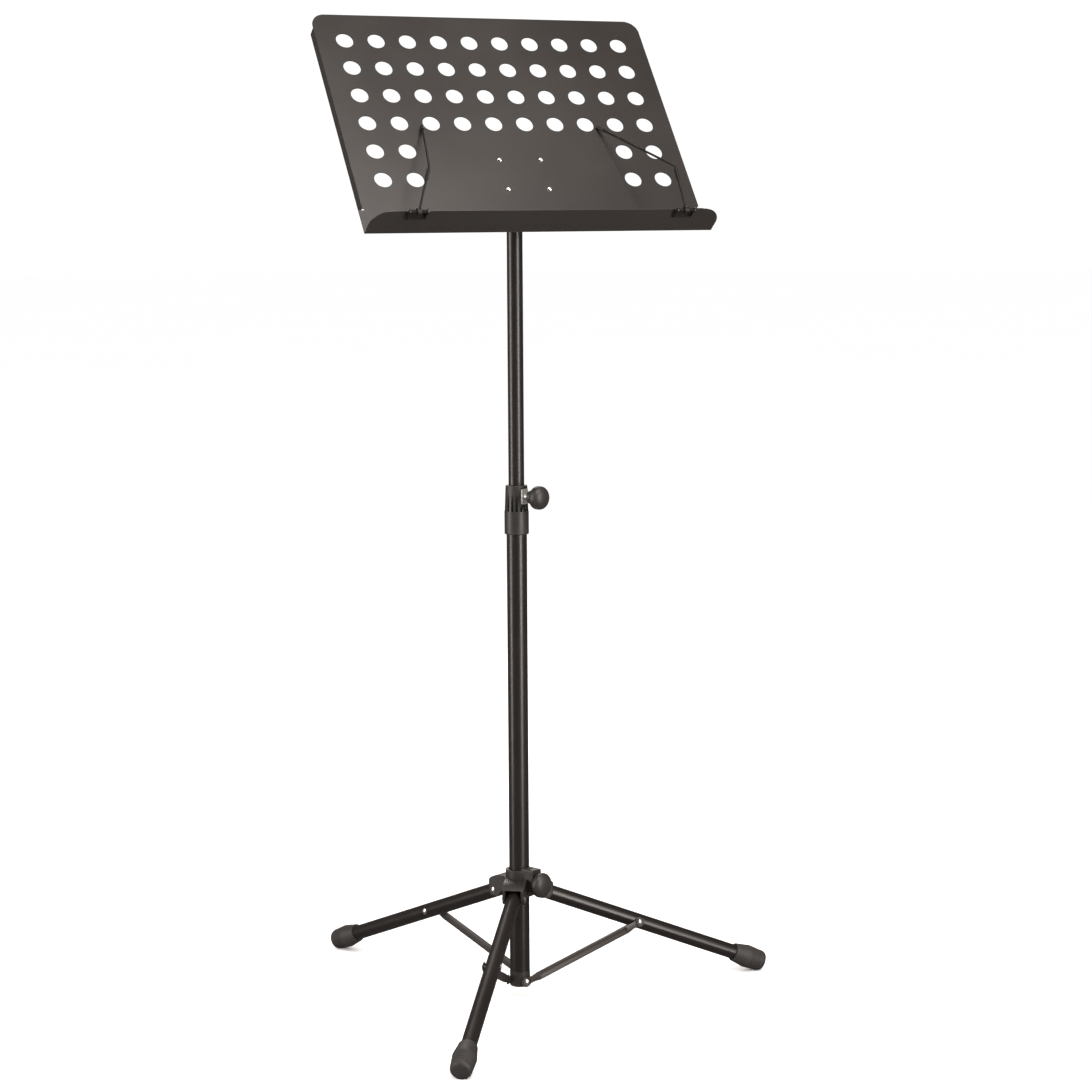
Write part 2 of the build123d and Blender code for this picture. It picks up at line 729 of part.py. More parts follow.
def holder_upper_wire(side):
    """Upper wire: a shank in the knuckle, a bend and a straight run to the tip."""
    run = knee_direction()
    knee = Vector(knee_u, knee_v, knee_n)
    corner = knee + run * 3.4
    tip = Vector(tip_u, tip_v, tip_n)
    path = FilletPolyline(knee - run * 8.5, corner, tip, radius=2.6)
    start = Plane(origin=knee - run * 8.5, z_dir=run)
    return to_side(sweep(start * Circle(wire_r), path=path), side)


def holder_tip(side):
    """Plastic sleeve on the end of the upper wire, which rests on the page."""
    corner = Vector(knee_u, knee_v, knee_n) + knee_direction() * 3.4
    tip = Vector(tip_u, tip_v, tip_n)
    run = (tip - corner).normalized()
    body = rod(tip_r, tuple(tip - run * tip_length), tuple(tip + run * 0.2))
    body = body + Pos(*tuple(tip)) * Sphere(tip_r)
    return to_side(body - rod(wire_r, tuple(tip - run * (tip_length + 3)), tuple(tip)), side)


# ---- write every piece ----------------------------------------------------------------------
def pieces():
    shapes = {
        "lower_tube": lower_tube(),
        "base_cup": base_cup(),
        "base_rivets": base_rivets(),
        "height_clamp_collar": clamp_collar(),
        "height_nut_plate": nut_plate(16.0, height_screw_z),
        "height_clamp_pad": clamp_pad(),
        "height_screw": clamp_screw(12.8, height_knob_r + 8, height_screw_z),
        "height_knob": facing_knob(
            knob(16.2, 9.3, 6.5, 27, screw_r, 8), height_knob_r, height_screw_z
        ),
        "hub_body": hub_body(),
        "hub_nut_plate": nut_plate(hub_lug_r - 9, hub_screw_z),
        "hub_rivets": hub_rivets(),
        "hub_screw": clamp_screw(14.5, 44.0, hub_screw_z),
        "hub_knob": facing_knob(
            knob(17.5, 9.0, 2, 18, screw_r, 44 - hub_knob_r), hub_knob_r, hub_screw_z
        ),
        "upper_tube": upper_tube(),
        "upper_tube_bush": guide_bush(),
        "tilt_head": tilt_head(),
        "tilt_head_pin": head_pin(),
        "tilt_washers": tilt_washers(),
        "tilt_bolt": tilt_bolt(),
        "tilt_knob": tilt_knob(),
        "desk_panel": desk_panel(),
        "desk_bracket": desk_bracket(),
        "desk_screws": desk_screws(),
        "desk_nuts": desk_nuts(),
    }
    for number, name in ((1, "front"), (2, "right"), (3, "left")):
        shapes[f"{name}_leg_tube"] = leg_tube(number)
        shapes[f"{name}_leg_foot"] = leg_foot(number)
        shapes[f"{name}_strut"] = strut(number)
        shapes[f"{name}_strut_rivet"] = strut_rivet(number)
    for side, name in ((-1, "left"), (1, "right")):
        shapes[f"{name}_holder_saddle"] = holder_saddle(side)
        shapes[f"{name}_holder_pin"] = holder_pin(side)
        shapes[f"{name}_holder_spring"] = holder_spring(side)
        shapes[f"{name}_holder_lower_wire"] = holder_lower_wire(side)
        shapes[f"{name}_holder_knuckle"] = holder_knuckle(side)
        shapes[f"{name}_holder_upper_wire"] = holder_upper_wire(side)
        shapes[f"{name}_holder_tip"] = holder_tip(side)
    return shapes


os.makedirs("parts", exist_ok=True)
for node, shape in pieces().items():
    export_step(shape, f"parts/{node}.step")
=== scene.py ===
# %% [markdown]
# # Finishing an orchestra music stand
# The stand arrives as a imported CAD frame: every sheet, tube, screw and casting is already a solid
# in its right place, in metres, with +Z up and the desk facing -Y. Blender's work is to give each
# piece the surface that the real one has, and to replace the few pieces whose charm is in their
# fine shape: ribbed knobs, grooved rubber boots, coiled springs and domed screws.

# %% Load the frame
import json
from math import atan2, cos, pi, radians, sin

import bpy
from mathutils import Matrix, Vector


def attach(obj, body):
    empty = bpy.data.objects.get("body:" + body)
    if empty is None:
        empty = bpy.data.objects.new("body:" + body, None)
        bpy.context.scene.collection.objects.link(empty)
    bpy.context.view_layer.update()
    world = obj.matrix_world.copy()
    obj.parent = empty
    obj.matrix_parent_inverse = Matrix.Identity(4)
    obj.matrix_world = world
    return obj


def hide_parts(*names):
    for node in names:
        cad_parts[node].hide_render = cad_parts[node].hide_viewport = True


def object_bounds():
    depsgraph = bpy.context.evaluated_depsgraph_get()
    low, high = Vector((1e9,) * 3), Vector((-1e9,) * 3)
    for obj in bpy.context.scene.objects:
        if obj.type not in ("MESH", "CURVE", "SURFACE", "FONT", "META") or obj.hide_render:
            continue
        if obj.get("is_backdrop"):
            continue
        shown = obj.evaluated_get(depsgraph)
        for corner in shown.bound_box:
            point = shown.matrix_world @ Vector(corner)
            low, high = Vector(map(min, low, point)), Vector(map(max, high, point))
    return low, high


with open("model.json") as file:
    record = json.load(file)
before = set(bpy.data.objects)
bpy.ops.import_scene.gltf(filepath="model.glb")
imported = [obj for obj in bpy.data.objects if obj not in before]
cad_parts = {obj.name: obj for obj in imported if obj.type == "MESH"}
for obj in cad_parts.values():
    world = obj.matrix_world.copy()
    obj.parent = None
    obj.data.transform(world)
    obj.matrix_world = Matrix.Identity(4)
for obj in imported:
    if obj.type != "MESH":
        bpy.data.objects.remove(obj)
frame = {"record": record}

MM = 0.001
cad_box = [list(corner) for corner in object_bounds()]

# %% [markdown]
# Everything in this stand is measured from a few places that the CAD settled: the post stands on
# the origin, the two clamp knobs point 25 degrees to the right of the front, and the desk leans
# back 37.8 degrees about the tilt bolt. They are named once here, in millimetres, and used
# everywhere below.

# %% The places that pieces are built on
KNOB_AZIMUTH = radians(25.0)
KNOB_AXIS = Vector((sin(KNOB_AZIMUTH), -cos(KNOB_AZIMUTH), 0))
LEG_AZIMUTHS = {"front": radians(-34.7), "right": radians(85.3), "left": radians(205.3)}
LEG_SLOPE = radians(22.3)
LEG_PIVOT_R, LEG_PIVOT_Z = 36.0, 148.5
DESK_TILT = radians(37.8)
DESK_OUT = Vector((0, -cos(DESK_TILT), sin(DESK_TILT)))
DESK_UP = Vector((0, sin(DESK_TILT), cos(DESK_TILT)))
TILT_AXIS = Vector((0, 0, 1120.0))
DESK_OFFSET = 47.2
DESK_ZERO = TILT_AXIS + DESK_OFFSET * DESK_OUT
SHEET = 1.2
TRAY_UNDER = -97.2
HOLDER_PIN = (191.0, -101.4, 51.0)
HEIGHT_KNOB_SEAT = 26.0 * KNOB_AXIS + Vector((0, 0, 710.0))
HUB_KNOB_SEAT = 33.4 * KNOB_AXIS + Vector((0, 0, 165.5))
TILT_KNOB_SEAT = TILT_AXIS + Vector((19.9, 0, 0))


def on_desk(across, up, out):
    """A place on the desk, from millimetres across, up the slope and out from the panel."""
    return (DESK_ZERO + Vector((across, 0, 0)) + up * DESK_UP + out * DESK_OUT) * MM


print("desk zero point:", [round(c, 1) for c in DESK_ZERO])

# %% [markdown]
# ## Camera
# The stand is tall and narrow, so it is seen through a long lens from a little above the desk's
# lower edge. A long lens keeps the post's sides parallel. The camera is turned by three plain
# angles: round the stand, down, and a slight roll.

# %% Camera
CAMERA_PLACE = Vector((-1.3754, -3.2909, 1.1101))
CAMERA_TURN = radians(-23.33)
CAMERA_DOWN = radians(7.5)
CAMERA_ROLL = radians(-0.34)

camera_data = bpy.data.cameras.new("camera")
camera_data.sensor_fit = "HORIZONTAL"
camera_data.sensor_width = 36.0
camera_data.lens = 85.72
camera_data.clip_end = 100.0
camera = bpy.data.objects.new("camera", camera_data)
bpy.context.scene.collection.objects.link(camera)
turn = Matrix.Rotation(CAMERA_TURN, 4, "Z") @ Matrix.Rotation(pi / 2 - CAMERA_DOWN, 4, "X")
camera.matrix_world = Matrix.Translation(CAMERA_PLACE) @ turn @ Matrix.Rotation(CAMERA_ROLL, 4, "Z")
bpy.context.scene.camera = camera
print("camera distance:", round(CAMERA_PLACE.xy.length, 2), "m")

# %% [markdown]
# ## Studio
# Black metal shows what stands round it more than its own colour. Each tube needs one bright line
# left of its middle and one right of it, which a tall soft box on each side of the camera gives. A
# box overhead lays a grey sheen on the panel that fades upwards, and one behind lights the back.
# The floor and the background are plain and pale. Reflections see a dim world and not the floor,
# because a white one would turn the black coat grey. The world's own light is found by chance
# rays only: sampled as a lamp, it would ignore that split.


# %% Floor, lights and world
def deselect():
    """Nothing selected and object mode: the state that every operator here starts from."""
    if bpy.context.object and bpy.context.object.mode != "OBJECT":
        bpy.ops.object.mode_set(mode="OBJECT")
    bpy.ops.object.select_all(action="DESELECT")


def soft_box(name, place, target, width, height, power):
    deselect()
    bpy.ops.object.light_add(type="AREA", location=place)
    lamp = bpy.context.object
    lamp.name = name
    lamp.data.shape = "RECTANGLE"
    lamp.data.size = width
    lamp.data.size_y = height
    lamp.data.energy = power
    lamp.data.color = (1.0, 0.93, 0.88)
    lamp.visible_camera = False
    lamp.rotation_euler = (Vector(target) - Vector(place)).to_track_quat("-Z", "Y").to_euler()
    return lamp


def round_the_stand(azimuth, distance, height):
    angle = radians(azimuth)
    return (distance * sin(angle), -distance * cos(angle), height)


soft_box("left_box", round_the_stand(-95, 2.6, 1.0), (0, 0, 0.8), 0.55, 2.6, 66)
soft_box("right_box", round_the_stand(23, 2.6, 0.95), (0, 0, 0.8), 0.6, 2.6, 84)
soft_box("top_box", (0.05, -1.15, 2.74), (0, 0, 1.1), 1.0, 0.75, 46)
soft_box("back_box", round_the_stand(160, 3.0, 2.6), (0, 0, 0.8), 1.6, 1.6, 60)

FLOOR_RADIUS = 40.0
deselect()
bpy.ops.mesh.primitive_circle_add(
    vertices=64, radius=FLOOR_RADIUS, fill_type="NGON", location=(0, 0, 0)
)
floor = bpy.context.object
floor.name = "floor"
floor.visible_glossy = False
floor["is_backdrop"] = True

world = bpy.data.worlds.new("studio")
bpy.context.scene.world = world
world.cycles.sampling_method = "NONE"
world.use_nodes = True
nodes, links = world.node_tree.nodes, world.node_tree.links
nodes.clear()
white = nodes.new("ShaderNodeBackground")
white.inputs["Color"].default_value = (1, 1, 1, 1)
white.inputs["Strength"].default_value = 1.06
dim = nodes.new("ShaderNodeBackground")
dim.inputs["Color"].default_value = (1, 0.9, 0.85, 1)
dim.inputs["Strength"].default_value = 0.15
which = nodes.new("ShaderNodeLightPath")
blend = nodes.new("ShaderNodeMixShader")
out = nodes.new("ShaderNodeOutputWorld")
links.new(which.outputs["Is Glossy Ray"], blend.inputs["Fac"])
links.new(white.outputs["Background"], blend.inputs[1])
links.new(dim.outputs["Background"], blend.inputs[2])
links.new(blend.outputs["Shader"], out.inputs["Surface"])
bpy.context.scene.view_settings.view_transform = "Standard"

# %% [markdown]
# ## Shared surface effects
# Powder coat, moulded plastic and rubber have the same two things in common: a fine grain that
# breaks the gloss, and large faint patches where the colour and the gloss wander. One node group
# holds both, and each material places it with its own scales and values.


# %% The grain group
def group_with(name, inputs, outputs):
    tree = bpy.data.node_groups.new(name, "ShaderNodeTree")
    for label, kind, value in inputs:
        socket = tree.interface.new_socket(label, in_out="INPUT", socket_type=kind)
        if value is not None:
            socket.default_value = value
    for label, kind in outputs:
        tree.interface.new_socket(label, in_out="OUTPUT", socket_type=kind)
    start = tree.nodes.new("NodeGroupInput")
    end = tree.nodes.new("NodeGroupOutput")
    return tree, start, end


def noise(tree, detail, rough=0.55):
    node = tree.nodes.new("ShaderNodeTexNoise")
    node.inputs["Detail"].default_value = detail
    node.inputs["Roughness"].default_value = rough
    return node


grain_group, start, end = group_with(
    "grain_and_patches",
    [
        ("Vector", "NodeSocketVector", None),
        ("Grain Scale", "NodeSocketFloat", 900.0),
        ("Patch Scale", "NodeSocketFloat", 9.0),
        ("Dark", "NodeSocketColor", (0.01, 0.01, 0.01, 1)),
        ("Light", "NodeSocketColor", (0.03, 0.03, 0.03, 1)),
        ("Smooth", "NodeSocketFloat", 0.3),
        ("Rough", "NodeSocketFloat", 0.5),
    ],
    [("Color", "NodeSocketColor"), ("Roughness", "NodeSocketFloat"), ("Height", "NodeSocketFloat")],
)
fine = noise(grain_group, 3.0)
patches = noise(grain_group, 4.0)
share = grain_group.nodes.new("ShaderNodeMath")
share.operation = "MULTIPLY_ADD"
share.inputs[1].default_value = 0.35
tint = grain_group.nodes.new("ShaderNodeMix")
tint.data_type = "RGBA"
gloss = grain_group.nodes.new("ShaderNodeMapRange")
gloss.inputs["From Min"].default_value = 0.3
gloss.inputs["From Max"].default_value = 0.9
wire = grain_group.links.new
wire(start.outputs["Vector"], fine.inputs["Vector"])
wire(start.outputs["Vector"], patches.inputs["Vector"])
wire(start.outputs["Grain Scale"], fine.inputs["Scale"])
wire(start.outputs["Patch Scale"], patches.inputs["Scale"])
wire(fine.outputs["Fac"], share.inputs[0])
wire(patches.outputs["Fac"], share.inputs[2])
wire(share.outputs["Value"], tint.inputs["Factor"])
wire(start.outputs["Dark"], tint.inputs["A"])
wire(start.outputs["Light"], tint.inputs["B"])
wire(tint.outputs["Result"], end.inputs["Color"])
wire(share.outputs["Value"], gloss.inputs["Value"])
wire(start.outputs["Smooth"], gloss.inputs["To Min"])
wire(start.outputs["Rough"], gloss.inputs["To Max"])
wire(gloss.outputs["Result"], end.inputs["Roughness"])
wire(fine.outputs["Fac"], end.inputs["Height"])
print("group:", grain_group.name, len(grain_group.nodes), "nodes")

# %% [markdown]
# ## Finishes
# Black powder coat covers the tubes, the struts and the sheet. The tubes and the sheet each have
# their own depth and gloss; the struts get a lighter copy of the coat, a painted sheen for the light
# that their flat faces catch. The clamps and knobs are moulded black plastic, the feet are rubber,
# the screws and rivets bright zinc, the nut plates dull steel, the page holders dark spring wire and
# the washers nylon.
# Each is a Principled shader whose colour, gloss and fine relief come from the shared group.


# %% Materials
def finish_of(name, dark, light, smooth, rough, grain, patch, bump, metallic=0.0, specular=0.5):
    material = bpy.data.materials.new(name)
    material.use_nodes = True
    tree = material.node_tree
    shader = tree.nodes["Principled BSDF"]
    place = tree.nodes.new("ShaderNodeTexCoord")
    surface = tree.nodes.new("ShaderNodeGroup")
    surface.node_tree = grain_group
    relief = tree.nodes.new("ShaderNodeBump")
    relief.inputs["Strength"].default_value = bump
    relief.inputs["Distance"].default_value = 0.0002
    surface.inputs["Grain Scale"].default_value = grain
    surface.inputs["Patch Scale"].default_value = patch
    surface.inputs["Dark"].default_value = (*dark, 1)
    surface.inputs["Light"].default_value = (*light, 1)
    surface.inputs["Smooth"].default_value = smooth
    surface.inputs["Rough"].default_value = rough
    tree.links.new(place.outputs["Object"], surface.inputs["Vector"])
    tree.links.new(surface.outputs["Color"], shader.inputs["Base Color"])
    tree.links.new(surface.outputs["Roughness"], shader.inputs["Roughness"])
    tree.links.new(surface.outputs["Height"], relief.inputs["Height"])
    tree.links.new(relief.outputs["Normal"], shader.inputs["Normal"])
    shader.inputs["Metallic"].default_value = metallic
    shader.inputs["Specular IOR Level"].default_value = specular
    return material


tube_coat = finish_of(
    "tube_powder_coat", dark=(0.004, 0.003, 0.0028), light=(0.0085, 0.0062, 0.0055),
    smooth=0.28, rough=0.38, grain=1400, patch=12, bump=0.12,
)
desk_coat = finish_of(
    "desk_powder_coat", dark=(0.0105, 0.0088, 0.0078), light=(0.0175, 0.0147, 0.013),
    smooth=0.32, rough=0.4, grain=1200, patch=7, bump=0.15,
)
# Painted sheen: the struts' coat is a lighter copy of the tubes' black coat, for the light that their flat
# faces catch.
strut_coat_painted_sheen = finish_of(
    "strut_powder_coat_painted_sheen", dark=(0.014, 0.0115, 0.0102), light=(0.028, 0.024, 0.0215),
    smooth=0.34, rough=0.46, grain=1200, patch=20, bump=0.15,
)
plastic = finish_of(
    "moulded_plastic", dark=(0.0085, 0.0072, 0.0066), light=(0.018, 0.0155, 0.0142),
    smooth=0.38, rough=0.52, grain=900, patch=25, bump=0.25,
)
rubber = finish_of(
    "foot_rubber", dark=(0.011, 0.0095, 0.0088), light=(0.022, 0.019, 0.0175),
    smooth=0.5, rough=0.7, grain=700, patch=30, bump=0.35,
)
zinc = finish_of(
    "bright_zinc", dark=(0.60, 0.59, 0.57), light=(0.80, 0.79, 0.77),
    smooth=0.2, rough=0.34, grain=500, patch=60, bump=0.1, metallic=1.0,
)
plate_grey = finish_of(
    "nut_plate", dark=(0.20, 0.19, 0.18), light=(0.36, 0.35, 0.33),
    smooth=0.35, rough=0.5, grain=500, patch=80, bump=0.2, metallic=0.6,
)
spring_wire = finish_of(
    "spring_wire", dark=(0.004, 0.0033, 0.003), light=(0.009, 0.0075, 0.007),
    smooth=0.42, rough=0.55, grain=800, patch=40, bump=0.1, specular=0.25,
)
nylon = finish_of(
    "nylon", dark=(0.5, 0.49, 0.45), light=(0.68, 0.66, 0.62),
    smooth=0.4, rough=0.55, grain=600, patch=40, bump=0.1,
)
backdrop = finish_of(
    "pale_floor", dark=(0.93, 0.93, 0.93), light=(0.94, 0.94, 0.94),
    smooth=0.8, rough=0.9, grain=3, patch=0.5, bump=0.0, specular=0.0,
)
floor.data.materials.append(backdrop)

FINISHES = {
    "black_coat": tube_coat,
    "dark_sheet": desk_coat,
    "steel": zinc,
    "spring_steel": spring_wire,
    "black_plastic": plastic,
    "rubber": rubber,
    "nylon": nylon,
}
OWN_FINISH = {"height_nut_plate": plate_grey, "hub_nut_plate": plate_grey}
for part in frame["record"]["subparts"]:
    node = part["node"]
    skin = bpy.data.objects[node]
    skin.data.materials.clear()
    skin.data.materials.append(OWN_FINISH.get(node, FINISHES[part["material_slot"]]))

# %% [markdown]
# ## Hand tools for the pieces
# A real stand's knobs and boots are turned or moulded round one axis. The lathe here works as it
# does by hand: a disc is added, extruded upwards and resized, again and again, until the outline
# is done. A revolved curve would give the same shape, but then each ring's faces would be harder
# to pick out for the ribs and grooves that follow.


# %% Hand tools
def turned(name, outline, segments):
    """A closed turned solid: a disc extruded and resized through (radius, height) pairs in mm."""
    deselect()
    radius, height = outline[0]
    bpy.ops.mesh.primitive_circle_add(
        vertices=segments, radius=radius * MM, fill_type="NGON", location=(0, 0, height * MM)
    )
    piece = bpy.context.object
    piece.name = name
    piece.data.name = name
    bpy.ops.object.transform_apply(location=True, rotation=True, scale=True)
    bpy.ops.object.mode_set(mode="EDIT")
    bpy.ops.mesh.select_all(action="SELECT")
    for (r0, z0), (r1, z1) in zip(outline, outline[1:]):
        bpy.ops.mesh.extrude_region_move(TRANSFORM_OT_translate={"value": (0, 0, (z1 - z0) * MM)})
        bpy.ops.transform.resize(value=(r1 / r0, r1 / r0, 1), center_override=(0, 0, 0))
    bpy.ops.mesh.select_all(action="SELECT")
    bpy.ops.mesh.normals_make_consistent(inside=False)
    bpy.ops.object.mode_set(mode="OBJECT")
    return piece


def pick_faces(piece, wanted):
    """Selects the faces that a test accepts, and goes into edit mode."""
    deselect()
    bpy.context.view_layer.objects.active = piece
    piece.select_set(True)
    mesh = piece.data
    mesh.vertices.foreach_set("select", [False] * len(mesh.vertices))
    mesh.edges.foreach_set("select", [False] * len(mesh.edges))
    mesh.polygons.foreach_set("select", [bool(wanted(face)) for face in mesh.polygons])
    bpy.ops.object.mode_set(mode="EDIT")
    bpy.ops.mesh.select_mode(type="FACE")


def stand_at(piece, place, axis, spin=0.0):
    """Puts a piece made along +Z at a place, along an axis, and applies it to the mesh."""
    deselect()
    bpy.context.view_layer.objects.active = piece
    piece.select_set(True)
    turn = axis.to_track_quat("Z", "Y").to_matrix().to_4x4()
    piece.matrix_world = Matrix.Translation(place) @ turn @ Matrix.Rotation(spin, 4, "Z")
    bpy.ops.object.transform_apply(location=True, rotation=True, scale=True)


def soften(piece, width, segments=2, angle=35.0):
    """Rounds the edges that are sharper than an angle, with the modifier applied."""
    deselect()
    bpy.context.view_layer.objects.active = piece
    piece.select_set(True)
    bevel = piece.modifiers.new("soften", "BEVEL")
    bevel.width = width * MM
    bevel.segments = segments
    bevel.limit_method = "ANGLE"
    bevel.angle_limit = radians(angle)
    bpy.ops.object.modifier_apply(modifier="soften")


def copy_of(piece, name):
    twin = piece.copy()
    twin.data = piece.data.copy()
    twin.name = name
    twin.data.name = name
    bpy.context.scene.collection.objects.link(twin)
    return twin


def joined(first, *others):
    deselect()
    for piece in (first, *others):
        piece.select_set(True)
    bpy.context.view_layer.objects.active = first
    bpy.ops.object.join()
    return first


def hand_over(piece, body, slot, finish, *nodes):
    """A finished piece: smooth where it is round, in its finish, and riding on its body."""
    deselect()
    bpy.context.view_layer.objects.active = piece
    piece.select_set(True)
    bpy.ops.object.shade_smooth_by_angle(angle=radians(32))
    piece.data.materials.clear()
    piece.data.materials.append(finish)
    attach(piece, body)
    if nodes:
        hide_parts(*nodes)
    triangles = sum(len(face.vertices) - 2 for face in piece.data.polygons)
    print(piece.name, "on", body, triangles, "triangles")
    return piece


# %% [markdown]
# ## Ribbed knobs
# Each clamp screw ends in a moulded mushroom knob: a narrow neck, a side with fine ribs for the
# fingers and a smooth dome. The ribs are cut after the turning: strips of side faces are picked
# and inset together with a little depth, which leaves real grooves with sloped ends.


# %% Knobs
KNOB_SEGMENTS = 120


def ribbed_knob(name, outline, rib_low, rib_high, depth):
    knob = turned(name, outline, KNOB_SEGMENTS)
    step = 2 * pi / KNOB_SEGMENTS

    def in_a_groove(face):
        x, y, z = face.center
        column = int((atan2(y, x) % (2 * pi)) / step)
        return rib_low * MM < z < rib_high * MM and len(face.vertices) == 4 and column % 4 < 2

    pick_faces(knob, in_a_groove)
    bpy.ops.mesh.inset(thickness=0.22 * MM, depth=-depth * MM, use_individual=False)
    bpy.ops.object.mode_set(mode="OBJECT")
    return knob


height_outline = [
    (9.2, 0.0), (9.2, 1.0), (8.6, 2.0), (8.6, 5.0), (9.6, 6.8), (12.6, 8.6), (15.0, 10.2),
    (16.0, 12.0),
    (16.2, 14.0), (16.2, 17.5), (15.8, 19.4), (14.9, 21.2), (13.2, 23.1), (10.8, 24.8), (7.6, 26.1),
    (4.0, 26.8), (1.2, 27.0),
]
height_knob = ribbed_knob("height_knob_ribbed", height_outline, 9.0, 19.4, 0.55)
stand_at(height_knob, HEIGHT_KNOB_SEAT * MM, KNOB_AXIS)
hand_over(height_knob, "height_knob", "black_plastic", plastic, "height_knob")

hub_outline = [
    (9.2, 0.0), (9.2, 1.2), (11.5, 2.2), (15.2, 3.6), (17.0, 5.2), (17.5, 7.0), (17.5, 9.6), (17.2, 11.2),
    (16.2, 12.9), (14.4, 14.6), (11.6, 16.2), (8.0, 17.3), (4.2, 17.85), (1.2, 18.0),
]
hub_knob = ribbed_knob("hub_knob_ribbed", hub_outline, 3.4, 11.3, 0.55)
stand_at(hub_knob, HUB_KNOB_SEAT * MM, KNOB_AXIS)
hand_over(hub_knob, "hub_knob", "black_plastic", plastic, "hub_knob")

tilt_outline = [
    (8.5, 0.0), (8.5, 3.6), (9.4, 5.0), (12.4, 6.6), (14.4, 8.2), (15.0, 10.0), (15.0, 14.6), (14.5, 16.4),
    (13.2, 18.4), (10.8, 20.2), (7.4, 21.4), (3.8, 21.9), (1.2, 22.0),
]
tilt_knob = ribbed_knob("tilt_knob_ribbed", tilt_outline, 6.4, 16.5, 0.5)
stand_at(tilt_knob, TILT_KNOB_SEAT * MM, Vector((1, 0, 0)))
hand_over(tilt_knob, "tilt_knob", "black_plastic", plastic, "tilt_knob")

# %% [markdown]
# ## Rubber boots
# A boot is pushed over the end of each leg. It widens like a bell, then tapers to a blunt nose
# with ring grooves that let it grip. It is turned once, with each groove as a small step in the
# outline, and copied to the other two legs. Where it meets the floor it is worn flat: a bisect at
# floor height cuts the lowest sliver off and closes the cut.

# %% Boots
GROOVE_PLACES = (339.6, 343.8, 348.0, 352.2)
BOOT_WIDEST, BOOT_WIDE_R, BOOT_TAPER = 336.0, 16.5, 0.078


def boot_outline():
    rows = [(11.4, 313.4), (12.9, 313.5), (13.3, 314.4), (13.7, 318.0), (14.9, 325.0)]
    rows += [(16.1, 332.0), (BOOT_WIDE_R, 334.6), (BOOT_WIDE_R, 336.6)]
    for place in GROOVE_PLACES:
        wide = BOOT_WIDE_R - BOOT_TAPER * (place - BOOT_WIDEST)
        rows += [(wide + 0.05, place - 1.1), (wide - 0.75, place - 0.7)]
        rows += [(wide - 0.8, place + 0.7), (wide - 0.02, place + 1.1)]
    rows += [(15.0, 356.2), (14.7, 358.2), (13.9, 360.2), (12.4, 361.9)]
    return rows + [(10.4, 362.8), (8.0, 363.0), (2.0, 363.0)]


def leg_line(azimuth):
    """Where a leg's centre line starts, in metres, and the way it runs."""
    outward = Vector((sin(azimuth), -cos(azimuth), 0))
    pivot = LEG_PIVOT_R * outward + Vector((0, 0, LEG_PIVOT_Z))
    return pivot * MM, outward * cos(LEG_SLOPE) - Vector((0, 0, 1)) * sin(LEG_SLOPE)


boot = turned("front_boot", boot_outline(), 72)
soften(boot, 0.25, 2, 30)
boots = {"front": boot, "right": copy_of(boot, "right_boot"), "left": copy_of(boot, "left_boot")}
for leg, piece in boots.items():
    stand_at(piece, *leg_line(LEG_AZIMUTHS[leg]))
    pick_faces(piece, lambda face: True)
    bpy.ops.mesh.bisect(plane_co=(0, 0, 0), plane_no=(0, 0, 1), use_fill=True, clear_inner=True)
    bpy.ops.object.mode_set(mode="OBJECT")
    hand_over(piece, leg + "_leg", "rubber", rubber, leg + "_leg_foot")

# %% [markdown]
# ## Page-holder springs
# Two coils of thin wire sit on each page holder's pin and press its arm against the page. A coil
# is a small circle of wire swept by the Screw modifier, seven turns, with its open ends filled.
# Each coil's free end runs up to the tray as a straight wire.

# %% Springs
WIRE_R = 0.52
TURNS = 7
COIL_R = 1.5 + 0.12 + WIRE_R
COIL_START = 3.6
HOOK_OUT = 34.0


def straight_wire(name, start, end, radius):
    deselect()
    run = Vector(end) - Vector(start)
    bpy.ops.mesh.primitive_cylinder_add(
        vertices=12, radius=radius, depth=run.length, location=(0, 0, run.length / 2)
    )
    piece = bpy.context.object
    piece.name = name
    bpy.ops.object.transform_apply(location=True, rotation=True, scale=True)
    soften(piece, 0.15, 1)
    stand_at(piece, Vector(start), run.normalized())
    return piece


def wire_coil(name):
    deselect()
    bpy.ops.mesh.primitive_circle_add(
        vertices=10,
        radius=WIRE_R * MM,
        location=(COIL_R * MM, 0, WIRE_R * MM),
        rotation=(pi / 2, 0, 0),
    )
    coil = bpy.context.object
    coil.name = name
    bpy.ops.object.transform_apply(location=True, rotation=True, scale=True)
    screw = coil.modifiers.new("coil", "SCREW")
    screw.angle = 2 * pi
    screw.iterations = TURNS
    screw.screw_offset = 2 * WIRE_R * MM * 1.02
    screw.steps = 24
    screw.render_steps = 24
    bpy.ops.object.modifier_apply(modifier="coil")
    bpy.ops.object.mode_set(mode="EDIT")
    bpy.ops.mesh.select_mode(type="EDGE")
    bpy.ops.mesh.select_all(action="DESELECT")
    bpy.ops.mesh.select_non_manifold()
    bpy.ops.mesh.edge_face_add()
    bpy.ops.mesh.select_all(action="SELECT")
    bpy.ops.mesh.normals_make_consistent(inside=False)
    bpy.ops.object.mode_set(mode="OBJECT")
    return coil


pin_across, pin_up, pin_out = HOLDER_PIN
for side, name in ((-1, "left"), (1, "right")):
    parts = []
    for end in (-1, 1):
        coil = wire_coil(f"{name}_coil")
        start_across = side * pin_across + end * COIL_START
        stand_at(coil, on_desk(start_across, pin_up, pin_out), Vector((end, 0, 0)))
        far = start_across + end * (2 * TURNS - 1) * WIRE_R
        low = on_desk(far, pin_up + COIL_R, pin_out)
        high = on_desk(far, TRAY_UNDER - SHEET - WIRE_R - 0.05, HOOK_OUT)
        parts += [coil, straight_wire(f"{name}_leg", low, high, WIRE_R * MM)]
    spring = joined(*parts)
    spring.name = f"{name}_torsion_spring"
    hand_over(spring, "desk", "spring_steel", spring_wire, f"{name}_holder_spring")

